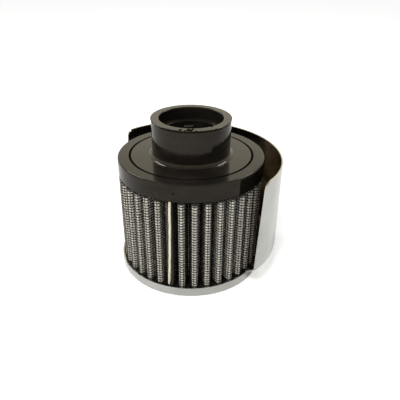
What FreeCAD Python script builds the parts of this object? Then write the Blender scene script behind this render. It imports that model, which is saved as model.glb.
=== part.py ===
import FreeCAD, Part
import math
import os
import Sketcher
from FreeCAD import Vector

# Clamp-on crankcase breather filter with a half-round splash shield.
# Millimetres, +Z up. The origin is the centre of the cap's flat base, on the filter's axis.
# Azimuths are measured from +X towards +Y.

doc = FreeCAD.newDocument("breather_filter")
sheet = doc.addObject("Spreadsheet::Sheet", "dims")

dimensions = {
    # pressed steel cap and shield
    "sheet_thickness": 0.75,
    "lip_clearance": 0.25,
    "lip_height": 5.36,
    "base_bend_radius": 0.25,
    "step_rise": 0.74,
    "step_height": 6.9,
    "step_bend_radius": 1.25,
    "shield_gap": 8.45,
    "shield_drop": 0.4,
    "shield_top_slope": 1.5,
    "shield_corner_radius": 4.0,
    "shield_azimuth": 50.6,
    "lip_trim_offset": 1.2,
    "foot_trim_offset": 5.3,
    "top_trim_offset": 1.35,
    # urethane poured into the cap
    "potting_drop": 0.8,
    # pleated pack
    "media_height": 50.02,
    "pleat_count": 36,
    "pleat_outer_radius": 38.45,
    "pleat_depth": 10.8,
    "outer_fold_radius": 2.1,
    "inner_fold_radius": 2.0,
    "mesh_thickness": 0.56,
    "gauze_thickness": 0.7,
    "seam_azimuth": -105.3,
    "seam_pleat_pitch": 9.3,
    # sealant bead on the seam pleat
    "bead_radius": 0.65,
    "bead_height": 0.55,
    "bead_lip_gap": 0.8,
    # moulded neck and flange
    "flange_inset": 0.35,
    "flange_thickness": 9.0,
    "flange_edge_radius": 0.8,
    "skirt_edge_radius": 0.4,
    "groove_inset": 6.3,
    "groove_width": 1.2,
    "groove_depth": 1.0,
    "neck_wall": 3.95,
    "neck_height": 19.27,
    "neck_fillet_radius": 2.1,
    "rim_spread": 0.45,
    "rim_edge_radius": 0.3,
    "flare_height": 1.1,
    "bore_radius": 16.35,
    "bore_edge_radius": 0.5,
    "bore_depth": 6.9,
    "ledge_width": 1.85,
    "ledge_edge_radius": 0.25,
}
for row, (alias, number) in enumerate(dimensions.items(), start=1):
    sheet.set(f"A{row}", alias)
    sheet.set(f"B{row}", str(number))
    sheet.setAlias(f"B{row}", alias)
doc.recompute()

# Heights and radii that follow from the driving dimensions, as expressions.
# The pack's outside carries the lip, the shield and the flange, and the bore carries the neck.
lip_inner_radius = "(dims.pleat_outer_radius + dims.lip_clearance)"
lip_outer_radius = f"({lip_inner_radius} + dims.sheet_thickness)"
shield_inner_radius = "(dims.pleat_outer_radius + dims.shield_gap)"
shield_outer_radius = f"({shield_inner_radius} + dims.sheet_thickness)"
pleat_inner_radius = "(dims.pleat_outer_radius - dims.pleat_depth)"
flange_radius = "(dims.pleat_outer_radius - dims.flange_inset)"
groove_radius = f"({flange_radius} - dims.groove_inset)"
neck_radius = "(dims.bore_radius + dims.neck_wall)"
rim_radius = f"({neck_radius} + dims.rim_spread)"
throat_radius = "(dims.bore_radius - dims.ledge_width)"
# The urethane in the cap stops below the lip's edge, and the shield's top below the flange's.
potting_top = "(dims.lip_height - dims.potting_drop)"
flange_bottom = f"({potting_top} + dims.media_height)"
flange_top = f"({flange_bottom} + dims.flange_thickness)"
neck_top = f"({flange_top} + dims.neck_height)"
flare_start = f"({neck_top} - dims.flare_height)"
ledge_height = f"({neck_top} - dims.bore_depth)"
step_start = "(dims.lip_height + dims.step_rise)"
shield_foot = f"({step_start} + dims.step_height)"
shield_top = f"({flange_top} - dims.shield_drop)"
# The shield's top edge rises to one side, so its wall is drawn as high as the higher end.
top_rise = "tan(dims.shield_top_slope * 1 deg)"
wall_top = f"({shield_top} + {shield_outer_radius} * {top_rise})"
step_slope = f"atan(dims.step_height / ({shield_outer_radius} - {lip_outer_radius}))"
# How much higher the sheet's upper face turns than its lower face at both ends of the step.
step_lift = f"dims.sheet_thickness * (1 - sin({step_slope})) / cos({step_slope})"
outer_bend_radius = "dims.step_bend_radius + dims.sheet_thickness"


def size(expression):
    return float(sheet.evalExpression(expression))


def new_body(label):
    body = doc.addObject("PartDesign::Body", label)
    body.Label = label
    return body


def section_sketch(body, name, corners, role="XZ_Plane"):
    # Closed outline in one of the body's planes. Each corner is two expressions, across and up.
    plane = next(p for p in body.Origin.OriginFeatures if p.Role == role)
    sketch = body.newObject("Sketcher::SketchObject", name)
    sketch.AttachmentSupport = [(plane, "")]
    sketch.MapMode = "FlatFace"
    points = [Vector(size(across), size(up), 0) for across, up in corners]
    count = len(points)
    for i in range(count):
        sketch.addGeometry(Part.LineSegment(points[i], points[(i + 1) % count]), False)
    for i in range(count):
        sketch.addConstraint(Sketcher.Constraint("Coincident", (i - 1) % count, 2, i, 1))
    for i, place in enumerate(corners):
        for kind, expression in zip(("DistanceX", "DistanceY"), place):
            if expression == "0":
                axis = -2 if kind == "DistanceX" else -1
                sketch.addConstraint(Sketcher.Constraint("PointOnObject", i, 1, axis))
                continue
            bound = Sketcher.Constraint(kind, -1, 1, i, 1, size(expression))
            index = sketch.addConstraint(bound)
            sketch.setExpression(f"Constraints[{index}]", expression)
    doc.recompute()
    return sketch


def revolve(body, kind, name, sketch):
    feature = body.newObject(f"PartDesign::{kind}", name)
    feature.Profile = sketch
    feature.ReferenceAxis = (sketch, ["V_Axis"])
    feature.Angle = 360
    sketch.Visibility = False
    doc.recompute()
    return feature


def cut_through(body, name, sketch):
    # Cuts the outline through the whole body, to both sides of the sketch.
    pocket = body.newObject("PartDesign::Pocket", name)
    pocket.Profile = sketch
    pocket.Type = "ThroughAll"
    pocket.Midplane = True
    sketch.Visibility = False
    doc.recompute()
    return pocket


def round_edges(body, name, base, radius, wanted):
    # Rounds every edge of base that the test wanted picks.
    edges = [f"Edge{i}" for i, edge in enumerate(base.Shape.Edges, start=1) if wanted(edge)]
    fillet = body.newObject("PartDesign::Fillet", name)
    fillet.Base = (base, edges)
    fillet.setExpression("Radius", radius)
    doc.recompute()
    return fillet


def ring_at(radius, height):
    # Picks the circular edge about the axis with this radius and height.
    ring_radius, ring_height = size(radius), size(height)

    def wanted(edge):
        if not isinstance(edge.Curve, Part.Circle):
            return False
        centre = edge.Curve.Center
        on_axis = math.hypot(centre.x, centre.y) < 1e-4
        return (on_axis and abs(edge.Curve.Radius - ring_radius) < 1e-4
                and abs(centre.z - ring_height) < 1e-4)

    return wanted


def make_shield_cap():
    # One steel sheet: flat base, upright lip, then a sloped step out to the shield's wall.
    # The sheet is drawn all round, and the side away from the shield is trimmed off at the lip.
    body = new_body("shield_cap")
    body.setExpression("Placement.Rotation.Angle", "dims.shield_azimuth")
    section = section_sketch(body, "cap_section", [
        ("0", "0"),
        (lip_outer_radius, "0"),
        (lip_outer_radius, step_start),
        (shield_outer_radius, shield_foot),
        (shield_outer_radius, wall_top),
        (shield_inner_radius, wall_top),
        (shield_inner_radius, f"{shield_foot} + {step_lift}"),
        (lip_inner_radius, f"{step_start} + {step_lift}"),
        (lip_inner_radius, "dims.sheet_thickness"),
        ("0", "dims.sheet_thickness"),
    ])
    solid = revolve(body, "Revolution", "cap_drawn", section)
    bends = [
        ("base_bend_outside", "dims.base_bend_radius + dims.sheet_thickness",
         lip_outer_radius, "0"),
        ("base_bend_inside", "dims.base_bend_radius", lip_inner_radius, "dims.sheet_thickness"),
        ("lip_bend_below", "dims.step_bend_radius", lip_outer_radius, step_start),
        ("lip_bend_above", outer_bend_radius, lip_inner_radius,
         f"{step_start} + {step_lift}"),
        ("foot_bend_below", outer_bend_radius, shield_outer_radius, shield_foot),
        ("foot_bend_above", "dims.step_bend_radius", shield_inner_radius,
         f"{shield_foot} + {step_lift}"),
    ]
    for name, bend, radius, height in bends:
        solid = round_edges(body, name, solid, bend, ring_at(radius, height))

    # Both trims are straight through: one from the side for the ends, one from the front for the
    # top edge. Their outlines end at clear_of_wall, beyond everything that they remove.
    clear_of_wall = f"2 * {shield_outer_radius}"
    above_wall = f"{wall_top} + {clear_of_wall} * {top_rise} + dims.sheet_thickness"
    end_trim = section_sketch(body, "end_trim_outline", [
        ("-dims.lip_trim_offset", "dims.lip_height"),
        ("-dims.foot_trim_offset", shield_foot),
        ("-dims.top_trim_offset", wall_top),
        ("-dims.top_trim_offset", above_wall),
        (f"-{clear_of_wall}", above_wall),
        (f"-{clear_of_wall}", "dims.lip_height"),
    ])
    cut_through(body, "end_trim", end_trim)
    top_trim = section_sketch(body, "top_trim_outline", [
        (f"-{clear_of_wall}", f"{shield_top} - {clear_of_wall} * {top_rise}"),
        (clear_of_wall, f"{shield_top} + {clear_of_wall} * {top_rise}"),
        (clear_of_wall, above_wall),
        (f"-{clear_of_wall}", above_wall),
    ], role="YZ_Plane")
    trimmed = cut_through(body, "top_trim", top_trim)

    def top_corner(edge):
        middle = edge.CenterOfMass
        across_sheet = abs(edge.Length - size("dims.sheet_thickness")) < 0.1 * edge.Length
        near_trim = abs(middle.x + size("dims.top_trim_offset")) < size("dims.sheet_thickness")
        edge_height = size(shield_top) + middle.y * size(top_rise)
        return across_sheet and near_trim and abs(middle.z - edge_height) < 1e-4

    round_edges(body, "shield_corners", trimmed, "dims.shield_corner_radius", top_corner)
    return body


def make_base_potting():
    # Urethane that fills the bottom of the cap and follows its bend.
    body = new_body("base_potting")
    section = section_sketch(body, "potting_section", [
        ("0", "dims.sheet_thickness"),
        (lip_inner_radius, "dims.sheet_thickness"),
        (lip_inner_radius, potting_top),
        ("0", potting_top),
    ])
    solid = revolve(body, "Revolution", "potting_pour", section)
    round_edges(body, "potting_bend", solid, "dims.base_bend_radius",
                ring_at(lip_inner_radius, "dims.sheet_thickness"))
    return body


def radial(azimuth):
    return Vector(math.cos(azimuth), math.sin(azimuth), 0)


def pleat_azimuths():
    # Pleat tips, starting at the seam. The two pleats beside the seam are drawn in closer to it
    # and the others share the rest of the turn evenly.
    count = round(size("dims.pleat_count"))
    seam = math.radians(size("dims.seam_azimuth"))
    seam_pitch = math.radians(size("dims.seam_pleat_pitch"))
    pitch = (2 * math.pi - 2 * seam_pitch) / (count - 2)
    return [seam] + [seam + seam_pitch + pitch * i for i in range(count - 1)]


def pleat_outline(depth):
    # Closed wire of the pleated sheet at this depth below its outer face. Every depth has the same
    # fold centres and parallel legs, so that the layers of the sheet fit face to face.
    thickness = size("2 * dims.mesh_thickness + dims.gauze_thickness")
    tip_radius = size("dims.outer_fold_radius") - depth
    valley_radius = size("dims.inner_fold_radius") - thickness + depth
    tip_circle = size("dims.pleat_outer_radius - dims.outer_fold_radius")
    valley_circle = size(f"{pleat_inner_radius} + dims.inner_fold_radius")
    floor = Vector(0, 0, size(potting_top))
    tips = pleat_azimuths()
    following = tips[1:] + [tips[0] + 2 * math.pi]
    valleys = [(tip + after) / 2 for tip, after in zip(tips, following)]

    def leg(tip, valley, turn):
        # Ends of the straight leg that touches the tip's circle and the valley's from opposite
        # sides. turn is 1 where the valley comes after the tip and -1 where it comes before.
        tip_centre = radial(tip) * tip_circle
        valley_centre = radial(valley) * valley_circle
        along = valley_centre - tip_centre
        cosine = (tip_radius + valley_radius) / along.Length
        along.normalize()
        aside = Vector(along.y, -along.x, 0) * turn
        normal = along * cosine + aside * math.sqrt(1 - cosine ** 2)
        return (tip_centre + normal * tip_radius + floor,
                valley_centre - normal * valley_radius + floor)

    edges = []
    for i, (tip, valley) in enumerate(zip(tips, valleys)):
        tip_entry, _ = leg(tip, valleys[i - 1], -1)
        tip_exit, valley_entry = leg(tip, valley, 1)
        next_entry, valley_exit = leg(following[i], valley, -1)
        tip_top = radial(tip) * (tip_circle + tip_radius) + floor
        valley_bottom = radial(valley) * (valley_circle - valley_radius) + floor
        edges += [
            Part.Arc(tip_entry, tip_top, tip_exit).toShape(),
            Part.LineSegment(tip_exit, valley_entry).toShape(),
            Part.Arc(valley_entry, valley_bottom, valley_exit).toShape(),
            Part.LineSegment(valley_exit, next_entry).toShape(),
        ]
    return Part.Wire(edges)


def make_pleated_layer(label, outer_depth, inner_depth):
    # One layer of the pack between two depths of the pleated sheet.
    face = Part.Face([pleat_outline(size(outer_depth)), pleat_outline(size(inner_depth))],
                     "Part::FaceMakerBullseye")
    layer = doc.addObject("Part::Feature", label)
    layer.Label = label
    layer.Shape = face.extrude(Vector(0, 0, size("dims.media_height")))
    return layer


def make_seam_bead():
    # Round bead of sealant that straddles the tip of the seam pleat, from just above the lip.
    bead_foot = "dims.lip_height + dims.bead_lip_gap"

    def upright(name, radius, distance):
        post = doc.addObject("Part::Cylinder", name)
        post.setExpression("Radius", radius)
        post.setExpression("Height", f"{flange_bottom} - ({bead_foot})")
        post.setExpression("Placement.Base.x", f"({distance}) * cos(dims.seam_azimuth * 1 deg)")
        post.setExpression("Placement.Base.y", f"({distance}) * sin(dims.seam_azimuth * 1 deg)")
        post.setExpression("Placement.Base.z", bead_foot)
        return post

    bead_centre = "dims.pleat_outer_radius + dims.bead_height - dims.bead_radius"
    fold_centre = "dims.pleat_outer_radius - dims.outer_fold_radius"
    bead = doc.addObject("Part::Cut", "seam_bead")
    bead.Label = "seam_bead"
    bead.Base = upright("bead_round", "dims.bead_radius", bead_centre)
    bead.Tool = upright("bead_fold", "dims.outer_fold_radius", fold_centre)
    doc.recompute()
    return bead


def make_neck_end_cap():
    # Moulded flange and neck. The neck widens a little to its rim, and the bore stops at a ledge.
    body = new_body("neck_end_cap")
    section = section_sketch(body, "neck_section", [
        (throat_radius, flange_bottom),
        (flange_radius, flange_bottom),
        (flange_radius, flange_top),
        (neck_radius, flange_top),
        (neck_radius, flare_start),
        (rim_radius, neck_top),
        ("dims.bore_radius", neck_top),
        ("dims.bore_radius", ledge_height),
        (throat_radius, ledge_height),
    ])
    solid = revolve(body, "Revolution", "neck_moulding", section)
    groove = section_sketch(body, "groove_section", [
        (f"{groove_radius} - dims.groove_width / 2", f"{flange_top} - dims.groove_depth"),
        (f"{groove_radius} + dims.groove_width / 2", f"{flange_top} - dims.groove_depth"),
        (f"{groove_radius} + dims.groove_width / 2", f"{flange_top} + dims.groove_depth"),
        (f"{groove_radius} - dims.groove_width / 2", f"{flange_top} + dims.groove_depth"),
    ])
    solid = revolve(body, "Groove", "plate_groove", groove)
    rounds = [
        ("flange_edge", "dims.flange_edge_radius", flange_radius, flange_top),
        ("skirt_edge", "dims.skirt_edge_radius", flange_radius, flange_bottom),
        ("neck_root", "dims.neck_fillet_radius", neck_radius, flange_top),
        ("rim_edge", "dims.rim_edge_radius", rim_radius, neck_top),
        ("bore_edge", "dims.bore_edge_radius", "dims.bore_radius", neck_top),
        ("ledge_edge", "dims.ledge_edge_radius", throat_radius, ledge_height),
    ]
    for name, radius, ring_radius, height in rounds:
        solid = round_edges(body, name, solid, radius, ring_at(ring_radius, height))
    return body


gauze_depth = "dims.mesh_thickness"
inner_mesh_depth = f"{gauze_depth} + dims.gauze_thickness"
pack_depth = f"{inner_mesh_depth} + dims.mesh_thickness"
pieces = [
    make_shield_cap(),
    make_base_potting(),
    make_pleated_layer("outer_wire_mesh", "0", gauze_depth),
    make_pleated_layer("cotton_gauze", gauze_depth, inner_mesh_depth),
    make_pleated_layer("inner_wire_mesh", inner_mesh_depth, pack_depth),
    make_seam_bead(),
    make_neck_end_cap(),
]
doc.recompute()

for item in doc.Objects:
    if {"Invalid", "Error"} & set(item.State):
        raise RuntimeError(f"{item.Label} failed: {item.State}")
for piece in pieces:
    if piece.Shape.isNull() or not piece.Shape.isValid():
        raise RuntimeError(f"{piece.Label} has no valid shape")

os.makedirs("parts", exist_ok=True)
for piece in pieces:
    piece.Shape.exportStep(f"parts/{piece.Label}.step")
    box = piece.Shape.optimalBoundingBox()
    print(f"{piece.Label}: {piece.Shape.Volume:.1f} mm3, {len(piece.Shape.Solids)} solid, "
          f"z {box.ZMin:.2f} to {box.ZMax:.2f}")
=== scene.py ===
import bisect
import math
import random
import bpy
from mathutils import Matrix, Vector


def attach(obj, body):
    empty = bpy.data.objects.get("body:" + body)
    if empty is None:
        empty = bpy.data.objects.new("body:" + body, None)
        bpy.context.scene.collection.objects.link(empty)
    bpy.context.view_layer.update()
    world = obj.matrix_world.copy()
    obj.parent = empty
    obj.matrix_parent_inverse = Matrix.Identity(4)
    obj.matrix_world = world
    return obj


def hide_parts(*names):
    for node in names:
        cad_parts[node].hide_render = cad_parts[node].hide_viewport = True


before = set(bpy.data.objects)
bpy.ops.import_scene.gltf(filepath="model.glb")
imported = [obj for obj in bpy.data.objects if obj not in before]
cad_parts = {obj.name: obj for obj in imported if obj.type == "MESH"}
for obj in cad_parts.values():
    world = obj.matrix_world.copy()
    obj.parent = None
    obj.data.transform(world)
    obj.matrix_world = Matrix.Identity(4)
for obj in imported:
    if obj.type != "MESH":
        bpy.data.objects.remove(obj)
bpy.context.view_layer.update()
mm = 0.001  # lengths in the dictionaries are millimetres, but metres for the floor and the lamps
perMetre = 1000  # a pattern's scale is perMetre / its size in millimetres
seamAzimuth = -105.3  # of the pleat that closes the pack, in degrees
print("frame loaded:", len(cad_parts), "nodes")


def toLinear(hexColour):
    channels = [int(hexColour[i:i + 2], 16) / 255 for i in (0, 2, 4)]
    linear = [c / 12.92 if c <= 0.04045 else ((c + 0.055) / 1.055) ** 2.4 for c in channels]
    return (*linear, 1)


def addNode(tree, kind, settings=None, **links):
    # adds one node: settings are its properties, with stops for the two ends of a ramp;
    # links are its inputs, as values or other sockets, by name or as _0, _1 by place
    node = tree.nodes.new(kind)
    for name, value in (settings or {}).items():
        if name == "stops":
            for element, (position, colour) in zip(node.color_ramp.elements, value):
                element.position, element.color = position, toLinear(colour)
        else:
            setattr(node, name, value)
    for name, value in links.items():
        byPlace = name[1:].isdigit()
        socket = node.inputs[int(name[1:]) if byPlace else name.replace("_", " ")]
        if isinstance(value, bpy.types.NodeSocket):
            tree.links.new(value, socket)
        else:
            socket.default_value = value
    return node


def newMaterial(name):
    material = bpy.data.materials.new(name)
    material.use_nodes = True
    tree = material.node_tree
    return material, tree, tree.nodes["Principled BSDF"]


def radial(azimuth):
    return Vector((math.cos(azimuth), math.sin(azimuth)))


seamWay = radial(math.radians(seamAzimuth))
seamAside = Vector((-seamWay.y, seamWay.x))


def deselectAll():
    if bpy.context.object and bpy.context.object.mode != "OBJECT":
        bpy.ops.object.mode_set(mode="OBJECT")
    bpy.ops.object.select_all(action="DESELECT")


def makeActive(piece):
    deselectAll()
    piece.select_set(True)
    bpy.context.view_layer.objects.active = piece


# camera: at the photograph's place, looking 29 degrees down; the focal length and width are in its pixels
cameraView = {"place": (4.87, -212.01, 154.75), "down": 29.45, "roll": 0.666, "focal": 439.0, "width": 400,
              "sensor": 36, "clipStart": 10}
bpy.ops.object.camera_add()
camera = bpy.context.object
camera.name = "photoCamera"
camera.data.sensor_width = cameraView["sensor"]
camera.data.lens = cameraView["sensor"] * cameraView["focal"] / cameraView["width"]
camera.data.clip_start = cameraView["clipStart"] * mm
camera.matrix_world = (Matrix.Translation(Vector(cameraView["place"]) * mm)
                       @ Matrix.Rotation(math.radians(90 - cameraView["down"]), 4, "X")
                       @ Matrix.Rotation(math.radians(cameraView["roll"]), 4, "Z"))
bpy.context.scene.camera = camera
bpy.context.scene.view_settings.view_transform = "Standard"

# studio: white walls under a dimmer ceiling, slightly warm in the gloss; the fill is given for the left and
# the right, and wallsTo and ceilingFrom are heights on a ball of radius 1
studio = {"walls": 1.15, "ceiling": 0.55, "wallsTo": 0.42, "ceilingFrom": 0.88, "fill": (0.52, 0.1),
          "tint": "FFF6DF"}
world = bpy.data.worlds.new("studioWhite")
bpy.context.scene.world = world
world.use_nodes = True
tree = world.node_tree
rays = addNode(tree, "ShaderNodeLightPath")
seen = addNode(tree, "ShaderNodeMath", {"operation": "MAXIMUM"}, _0=rays.outputs["Is Camera Ray"],
               _1=rays.outputs["Is Transmission Ray"])
way = addNode(tree, "ShaderNodeTexCoord").outputs["Generated"]
way = addNode(tree, "ShaderNodeSeparateXYZ", Vector=way)
wall = addNode(tree, "ShaderNodeMapRange", {"interpolation_type": "SMOOTHSTEP"}, _0=way.outputs["Z"],
               From_Min=studio["wallsTo"], From_Max=studio["ceilingFrom"], To_Min=studio["walls"],
               To_Max=studio["ceiling"])
fill = addNode(tree, "ShaderNodeMapRange", _0=way.outputs["X"], From_Min=-1.0, To_Min=studio["fill"][0],
               To_Max=studio["fill"][1])
fill = addNode(tree, "ShaderNodeMapRange", _0=rays.outputs["Is Glossy Ray"], To_Min=fill.outputs[0],
               To_Max=1.0)
wall = addNode(tree, "ShaderNodeMath", {"operation": "MULTIPLY"}, _0=wall.outputs[0], _1=fill.outputs[0])
level = addNode(tree, "ShaderNodeMapRange", _0=seen.outputs[0], To_Min=wall.outputs[0], To_Max=1.0)
tint = addNode(tree, "ShaderNodeMix", {"data_type": "RGBA"}, _0=rays.outputs["Is Glossy Ray"],
               _6=(1, 1, 1, 1), _7=toLinear(studio["tint"]))
tree.links.new(tint.outputs[2], tree.nodes["Background"].inputs["Color"])
tree.links.new(level.outputs[0], tree.nodes["Background"].inputs["Strength"])

# floor: white paper that glows to the eye, more so further away, so that only the object's shadow shows
sweep = {"size": 8, "drop": 0.0001, "colour": "E2E2E0", "roughness": 0.9, "glow": (0.48, 0.75),
         "glowReach": (0.12, 0.6), "glossGlow": 0.2}
deselectAll()
bpy.ops.mesh.primitive_plane_add(size=sweep["size"], location=(0, 0, -sweep["drop"]))
floor = bpy.context.object
floor.name = "floor"
paper, tree, shader = newMaterial("whitePaperSweep")
shader.inputs["Base Color"].default_value = toLinear(sweep["colour"])
shader.inputs["Roughness"].default_value = sweep["roughness"]
shader.inputs["Specular IOR Level"].default_value = 0
shader.inputs["Emission Color"].default_value = (1, 1, 1, 1)
rays = addNode(tree, "ShaderNodeLightPath")
gloss = addNode(tree, "ShaderNodeMath", {"operation": "MULTIPLY"}, _0=rays.outputs["Is Glossy Ray"],
                _1=sweep["glossGlow"])
seen = addNode(tree, "ShaderNodeMath", {"operation": "MAXIMUM"}, _0=rays.outputs["Is Camera Ray"],
               _1=gloss.outputs[0])
seen = addNode(tree, "ShaderNodeMath", {"operation": "MAXIMUM"}, _0=seen.outputs[0],
               _1=rays.outputs["Is Transmission Ray"])
away = addNode(tree, "ShaderNodeVectorMath", {"operation": "LENGTH"},
               _0=addNode(tree, "ShaderNodeTexCoord").outputs["Object"])
glow = addNode(tree, "ShaderNodeMapRange", {"interpolation_type": "SMOOTHSTEP"}, _0=away.outputs["Value"],
               From_Min=sweep["glowReach"][0], From_Max=sweep["glowReach"][1], To_Min=sweep["glow"][0],
               To_Max=sweep["glow"][1])
glow = addNode(tree, "ShaderNodeMath", {"operation": "MULTIPLY"}, _0=seen.outputs[0], _1=glow.outputs[0])
tree.links.new(glow.outputs[0], shader.inputs["Emission Strength"])
floor.data.materials.append(paper)

# lamps: the key stands high in front, so that every wire throws its shadow down, and a strip behind each side
# draws glints on the neck's foot
lampTarget = (0, 0, 0.05)
lamps = {"keySoftbox": {"place": (-0.16, -0.4, 0.66), "size": (0.22, 0.22), "power": 4.7, "gloss": False},
         "leftStrip": {"place": (-0.42, 0.36, 0.6), "size": (0.14, 0.24), "power": 1.5, "gloss": True},
         "rightStrip": {"place": (0.45, 0.32, 0.6), "size": (0.14, 0.24), "power": 1.5, "gloss": True}}
for name, lamp in lamps.items():
    deselectAll()
    bpy.ops.object.light_add(type="AREA", location=lamp["place"])
    light = bpy.context.object
    light.name = name
    light.data.shape = "RECTANGLE"
    light.data.size, light.data.size_y = lamp["size"]
    light.data.energy = lamp["power"]
    light.visible_camera = False
    light.visible_glossy = lamp["gloss"]
    aim = Vector(lampTarget) - light.location
    light.rotation_euler = aim.to_track_quat("-Z", "Y").to_euler()
print("camera and studio set")

# chromed steel: pressed sheet with bright plating; mirror-like, with a faint haze and drawing marks
# round the wall that soften the reflection; inside the shield the plating is thin and dull, and its darker
# brownish colour there is painted shade
chrome = {"colour": "C2C2BE", "dull": "BBBBB7", "haze": 9.0, "roughness": (0.07, 0.14), "drawLine": 0.35,
          "drawStretch": 0.06, "drawDepth": 0.02, "ripple": 7.0, "rippleDepth": 0.1, "hollowShade": "9A9080",
          "hollowFacing": (-0.05, -0.25), "hollowRoughness": 0.22}
chromedSteel, tree, shader = newMaterial("chromedSteel")
coords = addNode(tree, "ShaderNodeTexCoord")
place = coords.outputs["Object"]
outward = addNode(tree, "ShaderNodeVectorMath", {"operation": "MULTIPLY"}, _0=place, _1=(1, 1, 0))
outward = addNode(tree, "ShaderNodeVectorMath", {"operation": "NORMALIZE"}, _0=outward.outputs[0])
facing = addNode(tree, "ShaderNodeVectorMath", {"operation": "DOT_PRODUCT"}, _0=outward.outputs[0],
                 _1=coords.outputs["Normal"])
hollowShade = addNode(tree, "ShaderNodeMapRange", _0=facing.outputs["Value"], From_Min=chrome["hollowFacing"][0],
                 From_Max=chrome["hollowFacing"][1])
stretched = addNode(tree, "ShaderNodeMapping", Vector=place,
                    Scale=(chrome["drawStretch"], chrome["drawStretch"], 1)).outputs[0]
drawMarks = addNode(tree, "ShaderNodeTexNoise", Vector=stretched, Scale=perMetre / chrome["drawLine"],
                    Detail=3)
haze = addNode(tree, "ShaderNodeTexNoise", Vector=place, Scale=perMetre / chrome["haze"], Detail=4)
ramp = addNode(tree, "ShaderNodeValToRGB", {"stops": [(0.35, chrome["colour"]), (0.72, chrome["dull"])]},
               Fac=haze.outputs[0])
gloss = addNode(tree, "ShaderNodeMapRange", _0=drawMarks.outputs[0], From_Min=0.3, From_Max=0.7,
                To_Min=chrome["roughness"][0], To_Max=chrome["roughness"][1])
gloss = addNode(tree, "ShaderNodeMapRange", _0=hollowShade.outputs[0], To_Min=gloss.outputs[0],
                To_Max=chrome["hollowRoughness"])
# inside the shield the plating turns darker and brownish: painted shade
plating = addNode(tree, "ShaderNodeMix", {"data_type": "RGBA"}, _0=hollowShade.outputs[0], _6=ramp.outputs[0],
                  _7=toLinear(chrome["hollowShade"]))
ripple = addNode(tree, "ShaderNodeTexNoise", Vector=place, Scale=perMetre / chrome["ripple"], Detail=1)
bump = addNode(tree, "ShaderNodeBump", Strength=0.15, Distance=chrome["rippleDepth"] * mm,
               Height=ripple.outputs[0])
bump = addNode(tree, "ShaderNodeBump", Strength=0.06, Distance=chrome["drawDepth"] * mm,
               Height=drawMarks.outputs[0], Normal=bump.outputs[0])
shader.inputs["Metallic"].default_value = 1
tree.links.new(plating.outputs[2], shader.inputs["Base Color"])
tree.links.new(gloss.outputs[0], shader.inputs["Roughness"])
tree.links.new(bump.outputs[0], shader.inputs["Normal"])

# cast black urethane: poured against a polished mould, so it has a wet gloss, a warm near-black body and
# faint sinks and flow marks in the reflection; the groove's gloss is taken away as painted shade, and the
# skin outside it is duller
urethane = {"colour": "14120F", "worn": "221F1C", "ior": 1.36, "gloss": "FFEFDB", "roughness": (0.06, 0.17),
            "flow": 4.0, "flowStretch": 0.3, "dust": 0.5, "sink": 6.0, "sinkDepth": 0.1,
            "groove": (31.2, 32.4), "grooveBlend": 0.05, "glossLevel": (0.5, 0.42)}
blackUrethane, tree, shader = newMaterial("castBlackUrethane")
place = addNode(tree, "ShaderNodeTexCoord").outputs["Object"]
streaked = addNode(tree, "ShaderNodeMapping", Vector=place,
                   Scale=(urethane["flowStretch"], urethane["flowStretch"], 1)).outputs[0]
cloud = addNode(tree, "ShaderNodeTexNoise", Vector=streaked, Scale=perMetre / urethane["flow"], Detail=5,
                Roughness=0.6)
ramp = addNode(tree, "ShaderNodeValToRGB", {"stops": [(0.4, urethane["colour"]), (0.75, urethane["worn"])]},
               Fac=cloud.outputs[0])
dust = addNode(tree, "ShaderNodeTexNoise", Vector=place, Scale=perMetre / urethane["dust"], Detail=2)
smear = addNode(tree, "ShaderNodeMath", {"operation": "MULTIPLY"}, _0=cloud.outputs[0], _1=dust.outputs[0])
gloss = addNode(tree, "ShaderNodeMapRange", _0=smear.outputs[0], From_Min=0.12, From_Max=0.4,
                To_Min=urethane["roughness"][0], To_Max=urethane["roughness"][1])
sink = addNode(tree, "ShaderNodeTexNoise", Vector=place, Scale=perMetre / urethane["sink"], Detail=2)
bump = addNode(tree, "ShaderNodeBump", Strength=0.2, Distance=urethane["sinkDepth"] * mm,
               Height=sink.outputs[0])
reach = addNode(tree, "ShaderNodeVectorMath", {"operation": "MULTIPLY"}, _0=place, _1=(1, 1, 0))
reach = addNode(tree, "ShaderNodeVectorMath", {"operation": "LENGTH"}, _0=reach.outputs[0])
grooveInner, grooveOuter = urethane["groove"]
grooveMiddle, grooveHalf = (grooveInner + grooveOuter) / 2, (grooveOuter - grooveInner) / 2
skin = addNode(tree, "ShaderNodeMapRange", _0=reach.outputs["Value"], From_Min=grooveInner * mm,
               From_Max=grooveOuter * mm, To_Min=urethane["glossLevel"][0], To_Max=urethane["glossLevel"][1])
fromGroove = addNode(tree, "ShaderNodeMath", {"operation": "SUBTRACT"}, _0=reach.outputs["Value"],
                     _1=grooveMiddle * mm)
fromGroove = addNode(tree, "ShaderNodeMath", {"operation": "ABSOLUTE"}, _0=fromGroove.outputs[0])
# within the groove the gloss goes to nothing: painted shade
clear = addNode(tree, "ShaderNodeMapRange", _0=fromGroove.outputs[0], From_Min=grooveHalf * mm,
                From_Max=(grooveHalf + urethane["grooveBlend"]) * mm)
skin = addNode(tree, "ShaderNodeMath", {"operation": "MULTIPLY"}, _0=skin.outputs[0], _1=clear.outputs[0])
tree.links.new(skin.outputs[0], shader.inputs["Specular IOR Level"])
shader.inputs["IOR"].default_value = urethane["ior"]
shader.inputs["Specular Tint"].default_value = toLinear(urethane["gloss"])
tree.links.new(ramp.outputs[0], shader.inputs["Base Color"])
tree.links.new(gloss.outputs[0], shader.inputs["Roughness"])
tree.links.new(bump.outputs[0], shader.inputs["Normal"])

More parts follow.
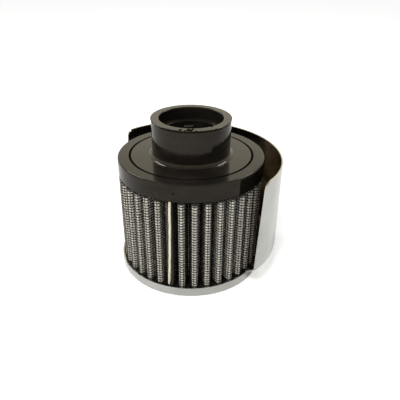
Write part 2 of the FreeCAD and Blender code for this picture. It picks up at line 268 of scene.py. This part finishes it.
# potting urethane: set where it was poured round the pleats; matt black with a slightly uneven skin
potting = {"colour": "12110F", "worn": "1D1B18", "roughness": 0.42, "skin": 2.5, "skinDepth": 0.2}
pottedUrethane, tree, shader = newMaterial("pottedUrethane")
place = addNode(tree, "ShaderNodeTexCoord").outputs["Object"]
skin = addNode(tree, "ShaderNodeTexNoise", Vector=place, Scale=perMetre / potting["skin"], Detail=4)
ramp = addNode(tree, "ShaderNodeValToRGB", {"stops": [(0.35, potting["colour"]), (0.7, potting["worn"])]},
               Fac=skin.outputs[0])
bump = addNode(tree, "ShaderNodeBump", Strength=0.4, Distance=potting["skinDepth"] * mm,
               Height=skin.outputs[0])
shader.inputs["Roughness"].default_value = potting["roughness"]
tree.links.new(ramp.outputs[0], shader.inputs["Base Color"])
tree.links.new(bump.outputs[0], shader.inputs["Normal"])

# torn urethane: the bottom of a nick or pit in the moulding, which lies in its own shade; black without gloss
torn = {"colour": "090807", "roughness": 0.8}
tornUrethane, tree, shader = newMaterial("tornUrethane")
shader.inputs["Base Color"].default_value = toLinear(torn["colour"])
shader.inputs["Roughness"].default_value = torn["roughness"]
shader.inputs["Specular IOR Level"].default_value = 0

# scuffed urethane: the pip where the throat's core tore away; dull, and a shade paler than the skin
scuffed = {"colour": "413E37", "roughness": 0.6}
scuffedUrethane, tree, shader = newMaterial("scuffedUrethane")
shader.inputs["Base Color"].default_value = toLinear(scuffed["colour"])
shader.inputs["Roughness"].default_value = scuffed["roughness"]

# coated wire: aluminium dipped in black epoxy; satin black, with a coat that is thinner here and there
wireFinish = {"coat": "14120E", "thin": "2A2620", "roughness": (0.32, 0.45), "film": 3.0}
coatedWire, tree, shader = newMaterial("epoxyCoatedWire")
place = addNode(tree, "ShaderNodeTexCoord").outputs["Object"]
film = addNode(tree, "ShaderNodeTexNoise", Vector=place, Scale=perMetre / wireFinish["film"], Detail=4)
ramp = addNode(tree, "ShaderNodeValToRGB", {"stops": [(0.4, wireFinish["coat"]), (0.75, wireFinish["thin"])]},
               Fac=film.outputs[0])
gloss = addNode(tree, "ShaderNodeMapRange", _0=film.outputs[0], From_Min=0.35, From_Max=0.7,
                To_Min=wireFinish["roughness"][0], To_Max=wireFinish["roughness"][1])
tree.links.new(ramp.outputs[0], shader.inputs["Base Color"])
tree.links.new(gloss.outputs[0], shader.inputs["Roughness"])

# cotton gauze: undyed open weave with a little filter oil; cream and dull, with slubs between the threads,
# black at both ends, partly where the poured urethane has wicked in and partly painted shade where the pleats
# meet the skirt and the lip, and grey-brown on the seam pleat from its glue
gauze = {"cream": "E9E5DA", "slub": "D0CABC", "roughness": 0.9, "gloss": 0.2, "thread": 0.9, "fibre": 0.4,
         "weaveDepth": 0.2, "soakedAndShaded": "14120F", "ends": (5.0, 53.0), "creep": 1.2, "creepSize": 3.0,
         "glue": "5E574A", "glueMiddle": 0.95, "glueHalf": 1.7, "glueFrom": 30, "edge": 0.3, "glueEdge": 1}
cottonGauze, tree, shader = newMaterial("undyedCottonGauze")
place = addNode(tree, "ShaderNodeTexCoord").outputs["Object"]
# a wave texture has a band every pi / 10 at scale 1, and a thread is half a band
threads = addNode(tree, "ShaderNodeTexWave", {"bands_direction": "Z"}, Vector=place,
                  Scale=perMetre / gauze["thread"] / 20 * math.pi, Distortion=1.5, Detail=2)
fibre = addNode(tree, "ShaderNodeTexNoise", Vector=place, Scale=perMetre / gauze["fibre"], Detail=3)
weave = addNode(tree, "ShaderNodeMath", {"operation": "MULTIPLY"}, _0=threads.outputs["Fac"],
                _1=fibre.outputs[0])
ramp = addNode(tree, "ShaderNodeValToRGB", {"stops": [(0.1, gauze["slub"]), (0.6, gauze["cream"])]},
               Fac=weave.outputs[0])
height = addNode(tree, "ShaderNodeSeparateXYZ", Vector=place).outputs["Z"]
creep = addNode(tree, "ShaderNodeTexNoise", Vector=place, Scale=perMetre / gauze["creepSize"], Detail=2)
creep = addNode(tree, "ShaderNodeMapRange", _0=creep.outputs[0], To_Min=-gauze["creep"] * mm,
                To_Max=gauze["creep"] * mm)
height = addNode(tree, "ShaderNodeMath", {"operation": "ADD"}, _0=height, _1=creep.outputs[0])
lowEnd, highEnd = gauze["ends"]
middle, half = (lowEnd + highEnd) / 2 * mm, (highEnd - lowEnd) / 2 * mm
fromMiddle = addNode(tree, "ShaderNodeMath", {"operation": "SUBTRACT"}, _0=height.outputs[0], _1=middle)
fromMiddle = addNode(tree, "ShaderNodeMath", {"operation": "ABSOLUTE"}, _0=fromMiddle.outputs[0])
# black band at each end: partly urethane wicked into the cotton, partly painted shade
soakedAndShaded = addNode(tree, "ShaderNodeMapRange", _0=fromMiddle.outputs[0], From_Min=half - gauze["edge"] * mm,
                 From_Max=half + gauze["edge"] * mm)
reach = addNode(tree, "ShaderNodeVectorMath", {"operation": "DOT_PRODUCT"}, _0=place, _1=(*seamWay, 0))
aside = addNode(tree, "ShaderNodeVectorMath", {"operation": "DOT_PRODUCT"}, _0=place, _1=(*seamAside, 0))
aside = addNode(tree, "ShaderNodeMath", {"operation": "SUBTRACT"}, _0=aside.outputs["Value"],
                _1=gauze["glueMiddle"] * mm)
aside = addNode(tree, "ShaderNodeMath", {"operation": "ABSOLUTE"}, _0=aside.outputs[0])
glued = addNode(tree, "ShaderNodeMapRange", _0=aside.outputs[0],
                From_Min=(gauze["glueHalf"] + gauze["edge"]) * mm,
                From_Max=(gauze["glueHalf"] - gauze["edge"]) * mm)
outside = addNode(tree, "ShaderNodeMapRange", _0=reach.outputs["Value"],
                  From_Min=(gauze["glueFrom"] - gauze["glueEdge"]) * mm,
                  From_Max=(gauze["glueFrom"] + gauze["glueEdge"]) * mm)
glued = addNode(tree, "ShaderNodeMath", {"operation": "MULTIPLY"}, _0=glued.outputs[0], _1=outside.outputs[0])
colour = addNode(tree, "ShaderNodeMix", {"data_type": "RGBA"}, _0=glued.outputs[0], _6=ramp.outputs[0],
                 _7=toLinear(gauze["glue"]))
colour = addNode(tree, "ShaderNodeMix", {"data_type": "RGBA"}, _0=soakedAndShaded.outputs[0], _6=colour.outputs[2],
                 _7=toLinear(gauze["soakedAndShaded"]))
bump = addNode(tree, "ShaderNodeBump", Strength=0.6, Distance=gauze["weaveDepth"] * mm,
               Height=weave.outputs[0])
shader.inputs["Roughness"].default_value = gauze["roughness"]
shader.inputs["Specular IOR Level"].default_value = gauze["gloss"]
tree.links.new(colour.outputs[2], shader.inputs["Base Color"])
tree.links.new(bump.outputs[0], shader.inputs["Normal"])

# seam sealant: cream bead pressed out of a gun; dull skin with small lumps
sealant = {"colour": "F0E9D4", "shade": "DED4BA", "roughness": 0.5, "lump": 1.6, "lumpDepth": 0.2}
creamSealant, tree, shader = newMaterial("creamSealant")
place = addNode(tree, "ShaderNodeTexCoord").outputs["Object"]
lumps = addNode(tree, "ShaderNodeTexNoise", Vector=place, Scale=perMetre / sealant["lump"], Detail=4)
ramp = addNode(tree, "ShaderNodeValToRGB", {"stops": [(0.35, sealant["colour"]), (0.75, sealant["shade"])]},
               Fac=lumps.outputs[0])
bump = addNode(tree, "ShaderNodeBump", Strength=0.5, Distance=sealant["lumpDepth"] * mm,
               Height=lumps.outputs[0])
shader.inputs["Roughness"].default_value = sealant["roughness"]
tree.links.new(ramp.outputs[0], shader.inputs["Base Color"])
tree.links.new(bump.outputs[0], shader.inputs["Normal"])
print("materials made")


# pleated pack: the same folds as the solids, as points round the pack at a depth below its outer face
pleatPack = {"count": 36, "seamPitch": 9.3, "tipCircle": 36.35, "valleyCircle": 29.65, "tipFold": 2.1,
             "valleyFold": 0.18, "foot": 4.56, "height": 50.02, "arcSteps": 10, "tangentReach": 0.2}


def pleatLine(depth):
    pack = pleatPack
    tipFold, valleyFold = pack["tipFold"] - depth, pack["valleyFold"] + depth
    seam, seamPitch = math.radians(seamAzimuth), math.radians(pack["seamPitch"])
    pitch = (2 * math.pi - 2 * seamPitch) / (pack["count"] - 2)
    tips = [seam] + [seam + seamPitch + pitch * i for i in range(pack["count"] - 1)]
    following = tips[1:] + [tips[0] + 2 * math.pi]
    valleys = [(tip + after) / 2 for tip, after in zip(tips, following)]

    def legNormal(tip, valley, turn):
        # from the tip's fold centre to where the straight leg leaves the fold
        along = radial(valley) * pack["valleyCircle"] - radial(tip) * pack["tipCircle"]
        cosine = (tipFold + valleyFold) / along.length
        along.normalize()
        aside = Vector((along.y, -along.x)) * turn
        return along * cosine + aside * math.sqrt(1 - cosine ** 2)

    def fold(centre, start, end, middle, radius):
        # points of one fold, from the way start round through middle to end
        sweepAngle = start.angle_signed(middle) + middle.angle_signed(end)
        steps = pack["arcSteps"]
        turns = [Matrix.Rotation(-sweepAngle * i / steps, 2) for i in range(steps + 1)]
        return [centre + turn @ start * radius for turn in turns]

    line = []
    for i, (tip, valley) in enumerate(zip(tips, valleys)):
        enter, leave = legNormal(tip, valleys[i - 1], -1), legNormal(tip, valley, 1)
        line += fold(radial(tip) * pack["tipCircle"], enter, leave, radial(tip), tipFold)
        back = legNormal(following[i], valley, -1)
        line += fold(radial(valley) * pack["valleyCircle"], -leave, -back, -radial(valley), valleyFold)
    return line


def spaced(line, count):
    # this many points evenly spaced along the closed line, each with the way out of the sheet
    closed = line + line[:1]
    reach = [0]
    for a, b in zip(closed, closed[1:]):
        reach.append(reach[-1] + (b - a).length)

    def at(distance):
        distance %= reach[-1]
        i = min(bisect.bisect_right(reach, distance), len(reach) - 1)
        part = (distance - reach[i - 1]) / max(reach[i] - reach[i - 1], 1e-9)
        return closed[i - 1].lerp(closed[i], part)

    result = []
    feel = pleatPack["tangentReach"]
    for i in range(count):
        distance = reach[-1] * i / count
        forward = at(distance + feel) - at(distance - feel)
        result.append((at(distance), Vector((forward.y, -forward.x)).normalized()))
    return result


def lineLength(line):
    return sum((b - a).length for a, b in zip(line, line[1:] + line[:1]))


def wireObject(name, wires, thickness, cyclic, rounds, fullness=None):
    # round wires along these lists of points, made a mesh; fullness is each point's share of the thickness
    curve = bpy.data.curves.new(name, "CURVE")
    curve.dimensions = "3D"
    curve.bevel_depth = thickness / 2 * mm
    curve.bevel_resolution = rounds
    curve.use_fill_caps = not cyclic
    for points in wires:
        spline = curve.splines.new("POLY")
        spline.points.add(len(points) - 1)
        spline.points.foreach_set("co", [c for p in points for c in (p[0] * mm, p[1] * mm, p[2] * mm, 1)])
        spline.points.foreach_set("radius", fullness or [1] * len(points))
        spline.use_cyclic_u = cyclic
        spline.use_smooth = True
    piece = bpy.data.objects.new(name, curve)
    bpy.context.scene.collection.objects.link(piece)
    makeActive(piece)
    bpy.ops.object.convert(target="MESH")
    return bpy.context.object


# woven wire: plain weave of 16 by 17 wires to the inch, in which the wires bend round each other; the real
# wire is about 0.28 thick, and both ways are drawn as coarse as they need to show; fineness is the points
# from one crossing to the next, with fewer on the inside, which hardly shows
wireWeave = {"warp": 0.34, "weft": 0.54, "sway": 0.16, "warpPitch": 1.6, "weftPitch": 1.516,
             "outerDepth": 0.47, "innerDepth": 1.54, "outerFineness": 2, "innerFineness": 1}


def weaveMesh(name, depth, fineness):
    # weft wires run round the pleats; warp wires stand upright, and straight where fineness is 1
    weave = wireWeave
    line = pleatLine(depth)
    warps = 2 * round(lineLength(line) / weave["warpPitch"] / 2)
    wefts = round(pleatPack["height"] / weave["weftPitch"])
    pitch = pleatPack["height"] / wefts
    sway = weave["sway"]
    pieces = []
    for start, label in ((0, "Even"), (1, "Odd")):
        points = []
        for i, (point, out) in enumerate(spaced(line, warps * fineness)):
            swing = sway * math.cos(math.pi * (i / fineness + start))
            points.append((*(point + out * swing), pleatPack["foot"] + pitch * (start + 0.5)))
        weft = wireObject(name + "Weft" + label, [points], weave["weft"], True, fineness - 1)
        rows = weft.modifiers.new("rows", "ARRAY")
        rows.use_relative_offset = False
        rows.use_constant_offset = True
        rows.constant_offset_displace = (0, 0, 2 * pitch * mm)
        rows.count = (wefts - start + 1) // 2
        bpy.ops.object.modifier_apply(modifier=rows.name)
        pieces.append(weft)
    uprights = []
    for i, (point, out) in enumerate(spaced(line, warps)):
        post = [(*point, pleatPack["foot"])]
        if fineness > 1:
            for row in range(wefts):
                swing = -sway * math.cos(math.pi * (i + row))
                post.append((*(point + out * swing), pleatPack["foot"] + pitch * (row + 0.5)))
        uprights.append(post + [(*point, pleatPack["foot"] + pleatPack["height"])])
    pieces.append(wireObject(name + "Warp", uprights, weave["warp"], False, fineness - 1))
    for piece in pieces:
        piece.data.materials.append(coatedWire)
        makeActive(piece)
        bpy.ops.object.shade_smooth()
        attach(piece, "root")
        print(piece.name, len(piece.data.polygons), "faces")
    return pieces, warps


outerWires, outerWarps = weaveMesh("outerMesh", wireWeave["outerDepth"], wireWeave["outerFineness"])
for piece in outerWires:
    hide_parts("outer_wire_mesh")
innerWires, innerWarps = weaveMesh("innerMesh", wireWeave["innerDepth"], wireWeave["innerFineness"])
for piece in innerWires:
    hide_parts("inner_wire_mesh")
print("wire meshes woven:", outerWarps, "and", innerWarps, "warp wires")

# seam bead: one pass of sealant down the seam pleat, not quite straight and not quite even
bead = {"radius": 38.35, "top": 54.58, "foot": 6.2, "thickness": 1.3, "steps": 40, "lean": (1.07, -0.28),
        "bow": 0.25, "wander": 0.05, "drift": 0.75, "rounds": 3, "fullness": 0.95, "unevenness": 0.08,
        "taper": 0.45, "taperPart": 0.04, "seed": 7}
random.seed(bead["seed"])
knots, fullness = [], []
wander = 0
for i in range(bead["steps"] + 1):
    part = i / bead["steps"]
    wander = bead["drift"] * wander + random.uniform(-1, 1) * bead["wander"]
    aside = bead["lean"][0] + (bead["lean"][1] - bead["lean"][0]) * part
    aside += bead["bow"] * math.sin(math.pi * part) + wander
    height = bead["top"] + (bead["foot"] - bead["top"]) * part
    knots.append((*(seamWay * bead["radius"] + seamAside * aside), height))
    taper = bead["taper"] * max(0, part - 1 + bead["taperPart"]) / bead["taperPart"]
    fullness.append(bead["fullness"] + bead["unevenness"] * random.uniform(-1, 1) - taper)
seamBead = wireObject("seamBead", [knots], bead["thickness"], False, bead["rounds"], fullness)
bpy.ops.object.shade_smooth()
seamBead.data.materials.append(creamSealant)
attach(seamBead, "root")
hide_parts("seam_bead")
print("seam bead laid")

# moulding marks: nicks along the front of the rim and a pit in the skirt, each a shallow dull lens, black as
# painted shade in the nick or pit, and a pip left on the far side of the throat; places are azimuth, radius
# and height, sizes are along, outward and up, and a nick has its azimuth, radius, length along and length
# outward
marks = {"nicks": [(-104.0, 19.2, 1.7, 2.4), (-96.6, 19.7, 1.3, 1.5), (-92.6, 18.7, 2.0, 3.6),
                   (-89.0, 19.2, 1.5, 2.6), (-86.4, 18.0, 1.4, 2.2), (-82.0, 20.0, 1.2, 1.1),
                   (-54.3, 17.2, 1.4, 1.6)], "nickHeight": 82.83, "nickThickness": 0.1,
         "pit": ((-101.2, 38.05, 59.1), (1.1, 0.2, 1.0)), "lensSides": 16, "lensRings": 8,
         "pip": ((96.5, 14.3, 72.7), (5.2, 1.0, 1.0)), "pipRound": 0.3, "pipSteps": 2}


def setPiece(place, size):
    # turns the new primitive to its azimuth, sets it in place and gives it its size
    piece = bpy.context.object
    azimuth, radius, height = place
    piece.scale = [length * mm for length in size]
    piece.rotation_euler = (0, 0, math.radians(azimuth - 90))
    piece.location = (*(radial(math.radians(azimuth)) * radius * mm), height * mm)
    bpy.ops.object.transform_apply(location=True, rotation=True, scale=True)
    return piece


hollows = [((azimuth, radius, marks["nickHeight"]), (along, out, marks["nickThickness"]))
           for azimuth, radius, along, out in marks["nicks"]] + [marks["pit"]]
lenses = []
for place, size in hollows:
    deselectAll()
    bpy.ops.mesh.primitive_uv_sphere_add(segments=marks["lensSides"], ring_count=marks["lensRings"],
                                         radius=0.5)
    lenses.append(setPiece(place, size))
deselectAll()
for lens in lenses:
    lens.select_set(True)
bpy.context.view_layer.objects.active = lenses[0]
bpy.ops.object.join()
mouldNicks = bpy.context.object
mouldNicks.name = "mouldNicks"
bpy.ops.object.shade_smooth()
# the lenses are black as painted shade
mouldNicks.data.materials.append(tornUrethane)
deselectAll()
bpy.ops.mesh.primitive_cube_add(size=1)
throatPip = setPiece(*marks["pip"])
throatPip.name = "throatPip"
rounding = throatPip.modifiers.new("rounding", "BEVEL")
rounding.width, rounding.segments = marks["pipRound"] * mm, marks["pipSteps"]
bpy.ops.object.modifier_apply(modifier=rounding.name)
bpy.ops.object.shade_smooth_by_angle()
throatPip.data.materials.append(scuffedUrethane)
for piece in (mouldNicks, throatPip):
    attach(piece, "root")
print("moulding marks added")

# the solids that keep their shape get their finish
finishes = {"shield_cap": chromedSteel, "base_potting": pottedUrethane, "cotton_gauze": cottonGauze,
            "neck_end_cap": blackUrethane}
for name, material in finishes.items():
    node = bpy.data.objects[name]
    for slot in node.material_slots:
        slot.material = material
print("finishes given to", ", ".join(finishes))
